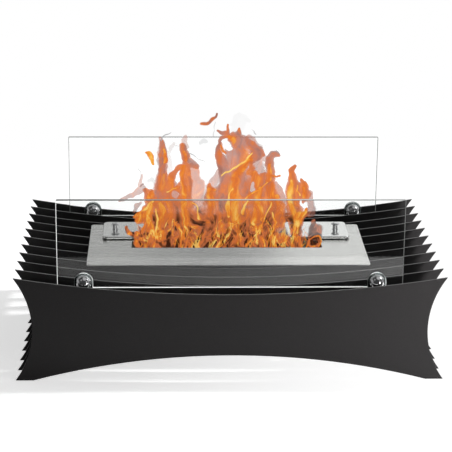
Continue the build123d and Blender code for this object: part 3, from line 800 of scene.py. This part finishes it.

# %% [markdown]
# ## The flame
#
# The flame isn't a piece of the fireplace. It rides with the burner. A volume would be the physical choice,
# but it is slow and grainy. Here four thin curtains stand in the slot, and each is painted with tongues: a
# tongue is a line of points with a half-width at each, and every vertex stores how deep it lies inside the
# nearest one. Pale veils hang at the back, orange bodies and brighter cores before them, and thin yellow
# edges, smoke and short random licks at the front. From the side those curtains would show as bare lines,
# so eight narrow ones stand across them.

# %% Tongues of the flame
# Each tongue: its heat, how much it covers, then points of (x, z, half-width) in millimetres. Heat below
# 0.2 is smoke.
TONGUES = {
    "veils": (
        (0.32, 0.62, (-108, 218, 11.9), (-106, 249, 8.6), (-104, 270, 6.8), (-103, 292, 6.3),
            (-103, 303, 6.6), (-104, 316, 4.5), (-106, 323, 2.3)),
        (0.20, 0.22, (-90, 237, 3.2), (-91, 270, 2.7), (-92, 296, 2), (-86, 315, 0.9)),
        (0.44, 0.66, (-46, 220, 15.1), (-48, 239, 15), (-50, 256, 10.2), (-52, 273, 6.4), (-56, 280, 2.3)),
        (0.34, 0.60, (-24, 220, 11.4), (-24, 242, 9.6), (-19, 256, 5.7), (-14, 270, 2.7)),
        (0.32, 0.66, (45, 237, 20.5), (49, 261, 13.7), (45, 289, 13.2), (44, 308, 9.1), (35, 322, 5.7)),
        (0.42, 0.90, (80, 199, 16.1), (77, 223, 14.2), (71, 242, 9.1)),
        (0.28, 0.66, (136, 196, 4.6), (135, 215, 6), (130, 232, 5.5), (122, 249, 3.2)),
        (0.30, 0.80, (142, 162, 11.1), (142, 173, 10.6), (140, 182, 5.1)),
        (0.30, 0.60, (-134, 240, 3.6), (-149, 229, 3.4), (-160, 224, 2.3), (-172, 220, 0.7)),
        (0.30, 0.50, (-132, 237, 3.6), (-138, 244, 3), (-135, 261, 0.9)),
        (0.34, 0.60, (-139, 217, 1.8), (-145, 210, 1.6), (-149, 203, 0.9)),
        (0.28, 0.45, (-65, 308, 4.1), (-67, 320, 3.2), (-67, 325, 1.4)),
        (0.06, 0.08, (14, 336, 6.8), (20, 348, 8.1), (26, 357, 5)),
        (0.06, 0.10, (9, 345, 2.7), (13, 355, 4.5), (20, 360, 3.2), (32, 351, 2.3)),
        (0.06, 0.30, (-41, 314, 2.3), (-36, 317, 2.7)),
        (0.06, 0.30, (-126, 251, 1.1), (-120, 254, 1.8), (-116, 251, 0.7)),
        (0.42, 0.75, (-115, 165, 16.1), (-92, 177, 32.1), (-35, 170, 27.6), (23, 177, 32.2),
            (69, 175, 25.3), (88, 155, 16.1)),
        (0.36, 0.80, (-85, 218, 13.7), (-85, 232, 11.4), (-88, 247, 6.8), (-90, 258, 2.7)),
        (0.33, 0.70, (-10, 270, 3.6), (-13, 289, 3.2), (-14, 303, 3.2), (-11, 313, 2.7)),
        (0.40, 0.70, (91, 189, 9.2), (90, 213, 7.8), (84, 237, 4.1), (77, 249, 1.4)),
        (0.30, 0.55, (55, 292, 7.7), (65, 289, 4.5), (67, 280, 2.7)),
    ),
    "bodies": (
        (0.54, 0.85, (85, 196, 9.2), (84, 213, 6.9), (81, 227, 2.7)),
        (0.50, 0.88, (-140, 192, 6.9), (-115, 196, 18.3), (-88, 196, 21.7), (-46, 191, 18.3),
            (-1, 196, 25.1), (45, 196, 25.2), (80, 189, 13.7)),
        (0.46, 0.85, (-83, 215, 11.4), (-85, 230, 8.2), (-91, 242, 5)),
        (0.46, 0.85, (-80, 226, 6.8), (-79, 240, 5), (-77, 249, 2.3)),
        (0.44, 0.85, (56, 239, 13.7), (60, 253, 10), (58, 263, 5)),
        (0.50, 0.90, (-108, 158, 20.6), (-105, 203, 17.1), (-103, 220, 13.7)),
        (0.38, 0.90, (-105, 203, 16), (-103, 225, 13.2), (-102, 244, 10), (-102, 258, 9.1),
            (-102, 270, 7.2), (-101, 282, 4.5), (-101, 291, 4.1), (-102, 300, 4.3)),
        (0.32, 0.85, (-102, 303, 4.5), (-103, 311, 4.1), (-104, 319, 2.7)),
        (0.50, 0.90, (-65, 158, 18.4), (-66, 203, 13.7), (-67, 225, 11.4), (-67, 242, 9.5),
            (-65, 258, 7.3), (-64, 270, 6.8)),
        (0.40, 0.90, (-65, 268, 7.7), (-65, 282, 6.8), (-67, 293, 5.9), (-69, 303, 5.4), (-69, 310, 4.5)),
        (0.36, 0.80, (-60, 286, 4.5), (-52, 282, 3.2), (-49, 278, 1.4)),
        (0.48, 0.90, (-69, 279, 3.2), (-79, 274, 2.7), (-87, 265, 2.9), (-90, 253, 4.5), (-89, 239, 6.8)),
        (0.50, 0.85, (-33, 158, 20.7), (-26, 203, 13.7), (-23, 225, 10.3), (-24, 239, 5.9),
            (-28, 247, 2.3)),
        (0.48, 0.90, (16, 158, 25.3), (15, 203, 25.1), (15, 227, 25.1), (14, 244, 22.7)),
        (0.40, 0.88, (14, 239, 22.8), (15, 253, 21.8), (19, 272, 15.9), (23, 289, 13.6), (20, 305, 11.7),
            (13, 320, 9.5), (10, 327, 5.4)),
        (0.40, 0.90, (4, 323, 4.5), (0, 332, 2.7), (1, 341, 1.3), (2, 346, 0.2)),
        (0.36, 0.90, (-1, 332, 2.3), (-8, 334, 1.4), (-14, 337, 0.2)),
        (0.38, 0.90, (16, 322, 8.1), (16, 332, 3.2), (17, 341, 0.2)),
        (0.40, 0.88, (-13, 313, 1.8), (-12, 320, 1.4), (-8, 326, 1.6), (0, 328, 2.7)),
        (0.34, 0.85, (21, 322, 9), (34, 315, 7.7), (48, 305, 5.9), (57, 298, 1.8)),
        (0.33, 0.85, (44, 303, 7.7), (50, 296, 4.5), (40, 291, 6.8)),
        (0.34, 0.88, (-13, 316, 0.7), (-16, 310, 1.4), (-15, 301, 2.7), (-10, 292, 6.3), (-5, 282, 9.5),
            (-3, 270, 10.4), (-2, 253, 10)),
        (0.44, 0.90, (-2, 258, 10.4), (-5, 242, 9.6), (-7, 225, 10), (-9, 201, 11.4)),
        (0.33, 0.80, (7, 303, 9), (10, 289, 11.3), (8, 272, 13.6)),
        (0.50, 0.90, (46, 158, 20.7), (45, 203, 20.6), (47, 227, 18.2), (49, 249, 13.6), (44, 263, 7.3)),
        (0.46, 0.90, (69, 158, 13.8), (68, 203, 13.7), (67, 234, 9.6), (67, 251, 7.7)),
        (0.40, 0.88, (67, 251, 7.3), (68, 268, 6.1), (68, 282, 5.9), (69, 292, 5.4), (72, 298, 4.5),
            (78, 297, 2.7)),
        (0.50, 0.92, (113, 145, 6.9), (112, 172, 8.7), (112, 191, 11.9), (108, 208, 11.9),
            (106, 222, 11.9), (107, 239, 11.8), (104, 256, 8.2), (103, 270, 4.5), (107, 280, 0.7)),
        (0.48, 0.90, (117, 224, 9.1), (123, 232, 8.2), (124, 241, 6.8), (120, 252, 2.3), (119, 258, 0.2)),
        (0.48, 0.90, (112, 230, 10.5), (113, 241, 6.8), (114, 249, 3.2)),
        (0.56, 0.95, (113, 195, 10.1), (127, 198, 2.7), (126, 206, 1.1)),
        (0.48, 0.90, (-115, 215, 11.4), (-123, 230, 9.1), (-130, 239, 3)),
        (0.52, 0.92, (-131, 146, 14.2), (-129, 155, 17.4), (-117, 174, 11.9), (-126, 195, 13.7),
            (-126, 208, 7.8), (-117, 220, 4.1)),
        (0.50, 0.90, (-134, 199, 5.5), (-142, 199, 3.7), (-149, 196, 1.4)),
        (0.60, 0.94, (-132, 178, 1.8), (-135, 171, 2.7), (-140, 166, 3.4), (-147, 164, 3.2),
            (-154, 167, 2.1), (-158, 173, 1.1), (-160, 178, 0.2)),
        (0.50, 0.90, (-140, 151, 10.3), (-92, 155, 18.4), (-23, 155, 18.4), (46, 155, 18.4),
            (87, 153, 13.8)),
        (0.50, 0.90, (142, 150, 11.5), (147, 145, 7.8)),
        (0.72, 0.95, (-127, 301, 1.5), (-124, 298, 3.3), (-120, 294, 3.9), (-117, 288, 1.5),
            (-117, 282, 0.2)),
    ),
    "cores": (
        (0.60, 0.80, (-107, 160, 13.7), (-103, 206, 9.6), (-106, 220, 5.4)),
        (0.50, 0.60, (-105, 244, 5.4), (-101, 265, 3.6)),
        (0.60, 0.90, (-98, 288, 1.4), (-99, 297, 2), (-101, 309, 2)),
        (0.64, 0.85, (-68, 160, 11.4), (-67, 206, 6.8), (-68, 227, 5), (-71, 253, 4.5), (-71, 268, 4.1),
            (-70, 282, 2.7)),
        (0.50, 0.80, (-67, 292, 3.2), (-68, 305, 2.7)),
        (0.62, 0.85, (-26, 170, 9.1), (-26, 227, 6.4), (-28, 244, 3.2), (-18, 242, 2.7)),
        (0.68, 0.80, (11, 160, 13.7), (10, 227, 11.4), (9, 244, 8.2), (14, 260, 10)),
        (0.66, 0.92, (9, 258, 6.8), (16, 268, 10), (25, 278, 8.1), (32, 289, 5), (36, 299, 1.1)),
        (0.56, 0.85, (38, 293, 3.2), (39, 279, 3.6), (35, 268, 4.5)),
        (0.64, 0.90, (9, 323, 6.3), (2, 328, 3.6)),
        (0.60, 0.90, (-11, 313, 2), (-8, 307, 2.9), (-2, 303, 2.3)),
        (0.74, 0.85, (50, 160, 13.7), (49, 218, 10.5), (52, 242, 5.4)),
        (0.58, 0.85, (65, 256, 5.4), (66, 275, 3.6), (67, 284, 1.8)),
        (0.78, 0.90, (112, 155, 3.7), (112, 179, 5.5), (109, 199, 7.3), (101, 222, 4.6), (100, 242, 3.2),
            (101, 256, 2.7)),
        (0.64, 0.90, (124, 233, 5.5), (119, 246, 2.5)),
        (0.78, 0.90, (115, 201, 5.9), (125, 203, 1.8)),
        (0.62, 0.85, (-123, 229, 5.4), (-118, 238, 2.5)),
        (0.66, 0.90, (-122, 160, 11.4), (-120, 182, 6.8), (-129, 199, 5), (-122, 218, 2.3)),
    ),
    "edges": (
        (0.50, 0.90, (70, 266, 2.7), (77, 265, 1.8), (84, 268, 1.6), (84, 270, 0.5)),
        (0.92, 0.95, (-9, 269, 0.9), (5, 276, 1.4), (18, 285, 1.6), (29, 296, 1.6), (37, 306, 0.9)),
        (0.37, 0.95, (-39, 352, 4.2), (-31, 355, 3.9), (-21, 363, 2.5), (-18, 370, 1.4), (-18, 379, 0.4)),
        (0.06, 0.70, (-28, 389, 0.7), (-25, 385, 1.1), (-27, 381, 0.9)),
        (0.06, 0.40, (-21, 355, 0.4), (-20, 342, 0.4), (-22, 330, 0.7)),
        (0.08, 0.80, (-104, 326, 1.3), (-101, 332, 0.9), (-92, 336, 0.4), (-88, 338, 0.2)),
        (0.08, 0.70, (-86, 319, 0.2), (-80, 317, 0.7), (-75, 314, 0.4)),
        (0.08, 0.70, (-60, 303, 0.9), (-52, 298, 0.7), (-35, 290, 0.2)),
        (0.14, 0.80, (65, 300, 0.9), (68, 307, 1.1), (74, 308, 1.1), (81, 301, 0.7)),
        (0.08, 0.60, (35, 343, 0.2), (42, 340, 0.7), (44, 334, 0.4)),
        (0.08, 0.40, (-140, 280, 0.2), (-138, 268, 0.7), (-137, 258, 0.5)),
        (0.16, 0.80, (-136, 249, 1.8), (-132, 252, 1.4)),
        (0.84, 0.90, (28, 229, 0.9), (38, 237, 1.4), (50, 244, 1.4), (63, 256, 0.9)),
        (0.90, 0.90, (4, 200, 2), (0, 220, 2.9), (2, 235, 2), (8, 246, 0.9)),
        (0.90, 0.90, (25, 206, 2.7), (29, 220, 2), (35, 228, 0.9)),
        (0.80, 0.85, (-97, 241, 0.7), (-85, 246, 1.1), (-74, 252, 0.7)),
        (0.84, 0.90, (-44, 197, 1.6), (-47, 213, 1.6), (-54, 223, 0.7)),
        (0.86, 0.90, (-143, 203, 1.4), (-128, 215, 1.8), (-118, 226, 0.9)),
        (0.86, 0.90, (63, 151, 1.6), (47, 177, 1.8), (36, 201, 1.1)),
        (0.88, 0.90, (29, 151, 1.6), (45, 168, 1.8), (56, 184, 1.8), (62, 206, 1.4), (69, 223, 0.9)),
        (0.86, 0.90, (77, 151, 1.6), (70, 172, 1.8), (79, 189, 1.4), (71, 208, 0.9)),
        (0.86, 0.90, (128, 151, 1.6), (133, 163, 1.6), (145, 168, 1.4), (151, 158, 1.4), (146, 149, 1.4),
            (137, 150, 1.1)),
        (0.86, 0.90, (111, 253, 0.9), (109, 244, 1.1), (114, 234, 0.9)),
        (0.84, 0.90, (-106, 150, 2.7), (-115, 173, 2.3), (-108, 197, 1.4), (-115, 213, 0.7)),
        (0.82, 0.90, (-76, 150, 2.3), (-69, 173, 2), (-83, 192, 1.1)),
    ),
}
# Gaps in the bodies and cores, drawn like tongues: points of (x, z, half-width).
HOLES = (
    ((-6, 318, 2.7), (-1, 312, 3.4), (4, 307, 2.5)),
    ((119, 221, 1.1), (121, 214, 1.8), (124, 208, 0.9)),
    ((141, 154, 2.3), (142, 154, 2.3)),
    ((-80, 259, 3.0), (-82, 253, 2)),
    ((57, 286, 3.9), (55, 272, 4.1)),
    ((-83, 231, 5.5), (-82, 231, 5.5)),
    ((42, 249, 2.7), (41, 239, 3.2)),
)
print("tongues:", {name: len(group) for name, group in TONGUES.items()}, "holes:", len(HOLES))

# %% [markdown]
# ### Where the curtains hang
#
# The pale veils hang behind the middle of the slot and the bright edges before it, a few millimetres apart,
# so that the flame has some depth when it is seen from above or from the side. Their grid is fine enough
# for its points to carry the threads; a picture on two flat cards would be lighter, but it would blur. A
# flame's body ends sharply against the air, while its bright core melts into the body, so each curtain has
# its own softness, and a spread that thickens its tongues.

# %% Places of the curtains
FLAME_LEFT, FLAME_RIGHT = -0.185, 0.168
FLAME_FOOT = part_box("burner_surround")[1].z - 0.008
FLAME_TOP = 0.37
FOOT_HEIGHT = 1000 * FLAME_FOOT  # in millimetres, like the tongues
CURTAIN_STEP = 0.0011
CURTAIN_PLACES = {"veils": 0.012, "bodies": 0.005, "cores": -0.003, "edges": -0.011}  # along Y
SPREAD = {"veils": 2.0, "bodies": 2.0, "cores": 1.6, "edges": 0.5}  # added to half-widths, in millimetres
SOFTNESS = {"veils": 0.3, "bodies": 0.14, "cores": 0.7, "edges": 0.5}  # share of the half-width that fades
CROSS_PLACES = (-0.128, -0.104, -0.069, -0.03, 0.008, 0.034, 0.068, 0.109)  # along X
CROSS_TOPS = (205, 290, 285, 225, 310, 270, 265, 245)  # how high the flame reaches there, in millimetres
CROSS_REACH = 0.024  # how far they reach to the front and the back
CROSS_COLUMNS = 36
print("from the foot to the tallest tip:", round(FLAME_TOP - FLAME_FOOT, 3), "m")

# %% [markdown]
# ### Licks and cross tongues
#
# Over an open slot of liquid fuel, dozens of short licks dance along the rim and no two are alike. Drawing
# each by hand would never end, so a seeded draw of random numbers gives every one its place, height, lean,
# bend, width and heat, the same at every run. The cross curtains need no drawing either: seen from the
# side, a flame over a slot is a plain tall tongue with a brighter one inside it.

# %% Tongues that nobody has to draw
LICK_COUNT = 170
CROSS_BODY = (0.46, 0.88)  # heat and cover of a cross tongue and of the brighter one inside it
CROSS_CORE = (0.66, 0.9)

random.seed(7)


def lick():
    """A short random tongue that rises out of the slot."""
    x = random.uniform(-142, 132)
    tall = random.uniform(8, 58)
    lean = random.uniform(-0.5, 0.5)
    bend = random.uniform(-6, 6)
    wide = random.uniform(0.2, 1.0)
    root = (x, FOOT_HEIGHT, wide * 0.8)
    middle = (x + lean * tall * 0.5 + bend, FOOT_HEIGHT + tall * 0.5, wide)
    tip = (x + lean * tall, FOOT_HEIGHT + tall, 0.0)
    return (random.uniform(0.66, 0.98), random.uniform(0.5, 0.9), root, middle, tip)


def cross_tongues(top):
    """A tongue seen from the side, from the slot up to its top, with a brighter one inside it."""

    def up_to(share):
        return FOOT_HEIGHT + share * (top - FOOT_HEIGHT)

    body = ((0, FOOT_HEIGHT, 15), (1, up_to(0.3), 12), (-1, up_to(0.7), 7), (2, top, 0.5))
    core = ((0, FOOT_HEIGHT, 6), (0, up_to(0.3), 4), (1, up_to(0.6), 1))
    return ((*CROSS_BODY, *body), (*CROSS_CORE, *core))


licks = tuple(lick() for _ in range(LICK_COUNT))
print("licks:", len(licks), "the tallest", round(max(tip[1] for *_, tip in licks) - FOOT_HEIGHT), "mm")

# %% [markdown]
# ### How deep a point lies in a tongue
#
# A tongue is a chain of round-ended strokes, each wider at one end than at the other. A point's depth in a
# stroke is 1 on the line and 0 on the outline. Numpy works it out for a whole curtain at once, which takes
# a moment where a loop over every point would take minutes. Where tongues overlap, the deepest one counts
# most, so their heat and cover melt into each other without a seam.

# %% Depth, heat and cover
BLEND_SHARPNESS = 12.0  # the higher, the narrower the seam between two tongues
OUTSIDE = -1.0  # the depth of a point that lies in no tongue


def depth_inside(across, up, spine, spread):
    """How deep points lie inside a tongue: 1 on its spine, 0 on its outline, less outside."""
    deepest = np.full(across.shape, OUTSIDE)
    for (x, z, wide), (next_x, next_z, next_wide) in zip(spine, spine[1:]):
        run, rise = next_x - x, next_z - z
        share = ((across - x) * run + (up - z) * rise) / (run * run + rise * rise)
        share = np.clip(share, 0.0, 1.0)
        away = np.hypot(across - x - share * run, up - z - share * rise)
        deepest = np.maximum(deepest, 1.0 - away / (wide + share * (next_wide - wide) + spread))
    return deepest


def paint_curtain(across, up, tongues, spread):
    """The depth, heat and cover of the tongues at every point of a curtain."""
    total = np.full(across.shape, 1e-9)
    deepest = np.full(across.shape, OUTSIDE)
    heat, cover = np.zeros(across.shape), np.zeros(across.shape)
    for tongue_heat, tongue_cover, *spine in tongues:
        depth = depth_inside(across, up, spine, spread)
        weight = np.exp(BLEND_SHARPNESS * np.clip(depth, OUTSIDE, 0.5))
        total += weight
        heat += weight * tongue_heat
        cover += weight * tongue_cover
        deepest = np.maximum(deepest, depth)
    return deepest, heat / total, cover / total


sample = paint_curtain(np.array([8.0]), np.array([250.0]), TONGUES["bodies"], SPREAD["bodies"])
print("at x 8, z 250 mm: depth, heat, cover", [round(float(value[0]), 2) for value in sample])

# %% [markdown]
# ### The flame's finish
#
# A flame is light without a skin, so its finish is a shine mixed with plain transparency. Its colour comes
# from the heat that the curtain was painted with, stirred by noises that sway and curl: streaks drawn out
# upwards, thin bright veins, and darker gaps and patches near the foot. The ramp turns that into dark red,
# orange and yellow. Cool parts turn to ash pink, which a ramp from red to yellow alone would miss, and
# smoke is grey. Mirrors don't see the flame, because from their side the flat curtains would show.

# %% Finish of the flame
PAINTED = ("flame_depth", "flame_heat", "flame_cover", "flame_softness")  # what each point stores
FOOT_PART = (0.01, 0.09)  # the foot's own patterns fade out between these heights above it
SWAY = 0.05  # how far the streaks are pushed about, widely and finely
CURL = 0.02
STREAK_SHAPE = (1.0, 3.0, 0.3)  # how fast the patterns change along each axis: slowly upwards
FIRE_STOPS = [
    (0.0, (0.05, 0.014, 0.005)),
    (0.16, (0.25, 0.07, 0.025)),
    (0.34, (0.58, 0.16, 0.06)),
    (0.5, (0.7, 0.17, 0.035)),
    (0.63, (0.82, 0.22, 0.027)),
    (0.76, (0.92, 0.38, 0.05)),
    (0.95, (1.0, 0.66, 0.17)),
]
ASH_PINK = colour(0.46, 0.21, 0.175)
SMOKE_GREY = colour(0.4, 0.39, 0.4)


def fire_colour(shader, heat, rim):
    """The colour of the fire at that heat; rim is 1 on the outline of a tongue and 0 inside."""
    height = shader.coordinate("Z")
    low = height.within(*(FLAME_FOOT + edge for edge in FOOT_PART), 1.0, 0.0)
    sway = SWAY * (shader.grain(16.0, 1.0) - 0.5)
    curl = CURL * (shader.grain(45.0, 1.0) - 0.5)
    drawn = shader.place(STREAK_SHAPE)
    side, through, upwards = (shader.coordinate(axis, drawn) for axis in "XYZ")
    pushed = {"X": side + sway + curl, "Y": through, "Z": upwards + curl}
    bent = shader.node("ShaderNodeCombineXYZ", sockets=pushed)
    streaks = shader.grain(95.0, 5.0, vector=bent) - 0.5
    veins = abs(shader.grain(85.0, 1.0, vector=bent) - 0.5).within(0.0, 0.035, 1.0, 0.0)
    gaps = shader.grain(110.0, 1.0, vector=bent).within(0.46, 0.62)
    patches = shader.grain(38.0, 2.0, vector=bent) - 0.5
    warmth = heat + 1.1 * streaks + 0.3 * patches - 0.1 * rim + veins * (0.06 + 0.2 * low)
    warmth = warmth + low * (patches - 0.16 - 0.45 * gaps)
    fire = shader.node("ShaderNodeValToRGB", {"stops": FIRE_STOPS}, {"Fac": warmth})
    ashen = (heat + 0.5 * streaks).within(0.3, 0.46, 0.58, 0.0) * (1.0 - 0.8 * low)
    smoky = heat.within(0.1, 0.2, 1.0, 0.0)
    return shader.blend(smoky, shader.blend(ashen, fire, ASH_PINK), SMOKE_GREY)


def flame_finish():
    material, shader = new_finish("flame")
    depth, heat, cover, softness = (
        shader.node("ShaderNodeAttribute", {"attribute_name": name}, output="Fac") for name in PAINTED
    )
    rim = depth.within(0.0, 0.45, 1.0, 0.0)
    ragged = shader.grain(110.0, 5.0) - 0.5
    inside = (depth + 0.5 * ragged).within(0.0, softness)
    mirrored = shader.ray("Glossy Depth").at_most(1.0)
    thickness = cover * inside * (1.06 - 0.3 * rim) * (1.0 - mirrored)
    shine = shader.shine(fire_colour(shader, heat, rim))
    shader.finish(shader.mix(thickness, shader.clear(WHITE), shine))
    return material


keep("flame", flame_finish())

# %% [markdown]
# ### Hanging the curtains
#
# Every curtain is a grid of points; faces that lie well outside the fire are left out, which saves most of
# them. The grid itself is straight, but the tongues are read off through a few sines, so that the drawn
# outlines waver. One mesh holds all the curtains, because then one set of stored values and one ride serve
# them all.


# %% A mesh that curtains are hung in
class CurtainMesh:
    """The points and faces of all curtains, and what each point stores for the finish."""

    MARGIN = -0.45  # faces less deep than this are left out

    def __init__(self):
        self.points = []
        self.faces = []
        self.painted = {name: [] for name in PAINTED}

    def hang(self, places, values, softness):
        """Adds a curtain: its points on a grid, and the faces that lie in or near the fire."""
        shape = values[0].shape
        index = len(self.points) + np.arange(values[0].size).reshape(shape)
        self.points.extend(zip(*(np.broadcast_to(axis, shape).ravel() for axis in places)))
        corners = (index[:-1, :-1], index[:-1, 1:], index[1:, 1:], index[1:, :-1])
        near = (values[0] > self.MARGIN)[:-1, :-1]
        self.faces.extend(np.stack([corner[near] for corner in corners], axis=1).tolist())
        for stored, value in zip(self.painted.values(), (*values, np.full(shape, softness))):
            stored.append(value.ravel())

    def make(self):
        mesh = bpy.data.meshes.new("flame")
        mesh.from_pydata(self.points, [], self.faces)
        for name, values in self.painted.items():
            stored = mesh.attributes.new(name, "FLOAT", "POINT")
            stored.data.foreach_set("value", np.concatenate(values))
        mesh.materials.append(FINISHES["flame"])
        mesh.shade_smooth()
        return mesh


curtains = CurtainMesh()
print("each point stores", ", ".join(curtains.painted))


# %% Long curtains
def hang_long_curtains():
    across, up = np.meshgrid(
        np.linspace(FLAME_LEFT, FLAME_RIGHT, round((FLAME_RIGHT - FLAME_LEFT) / CURTAIN_STEP)),
        np.linspace(FLAME_FOOT, FLAME_TOP, round((FLAME_TOP - FLAME_FOOT) / CURTAIN_STEP)),
    )
    # In millimetres, like the tongues: a wide waver of a millimetre or so, and a finer, smaller one on it.
    wavy = 1000 * across + 1.6 * np.sin(130 * up + 5 * np.sin(70 * across))
    wavy += 0.35 * np.sin(480 * up + 90 * across)
    risen = 1000 * up + np.sin(190 * across + 3 * np.sin(90 * up)) + 0.4 * np.sin(530 * across)
    hole = np.max([depth_inside(wavy, risen, spine, 0.0) for spine in HOLES], axis=0)
    folds = 0.003 * np.sin(40 * across) * np.sin(55 * up)
    for name, tongues in TONGUES.items():
        drawn = tongues + licks if name == "edges" else tongues
        depth, heat, cover = paint_curtain(wavy, risen, drawn, SPREAD[name])
        if name in ("bodies", "cores"):
            depth = np.minimum(depth, -hole)
        curtains.hang((across, CURTAIN_PLACES[name] + folds, up), (depth, heat, cover), SOFTNESS[name])
    return up[:, 0]


curtain_heights = hang_long_curtains()
print("long curtains:", len(curtains.points), "points,", len(curtains.faces), "faces")


# %% Cross curtains
def hang_cross_curtains():
    through, up = np.meshgrid(np.linspace(-CROSS_REACH, CROSS_REACH, CROSS_COLUMNS), curtain_heights)
    for place, top in zip(CROSS_PLACES, CROSS_TOPS):
        folds = 0.002 * np.sin(60 * up + 900 * place)
        wavy = 1000 * through + 2.5 * np.sin(75 * up + 200 * place) + 0.6 * np.sin(330 * up)
        values = paint_curtain(wavy, 1000 * up, cross_tongues(top), SPREAD["bodies"])
        curtains.hang((place + folds, through, up), values, SOFTNESS["bodies"])


hang_cross_curtains()
print("with cross curtains:", len(curtains.points), "points,", len(curtains.faces), "faces")

# %% [markdown]
# ### Lighting it
#
# The mesh becomes an object that only the camera and clear glass see: it lights nothing and throws no
# shadow, because the studio's lamps already give the plates their light. It rides with the burner.


# %% Flame
def make_flame():
    flame = bpy.data.objects.new("flame", curtains.make())
    bpy.context.scene.collection.objects.link(flame)
    flame.visible_diffuse = False
    flame.visible_glossy = False
    flame.visible_shadow = False
    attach(flame, "burner")
    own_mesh(flame)
    return flame


print("flame faces:", len(make_flame().data.polygons))

# %% [markdown]
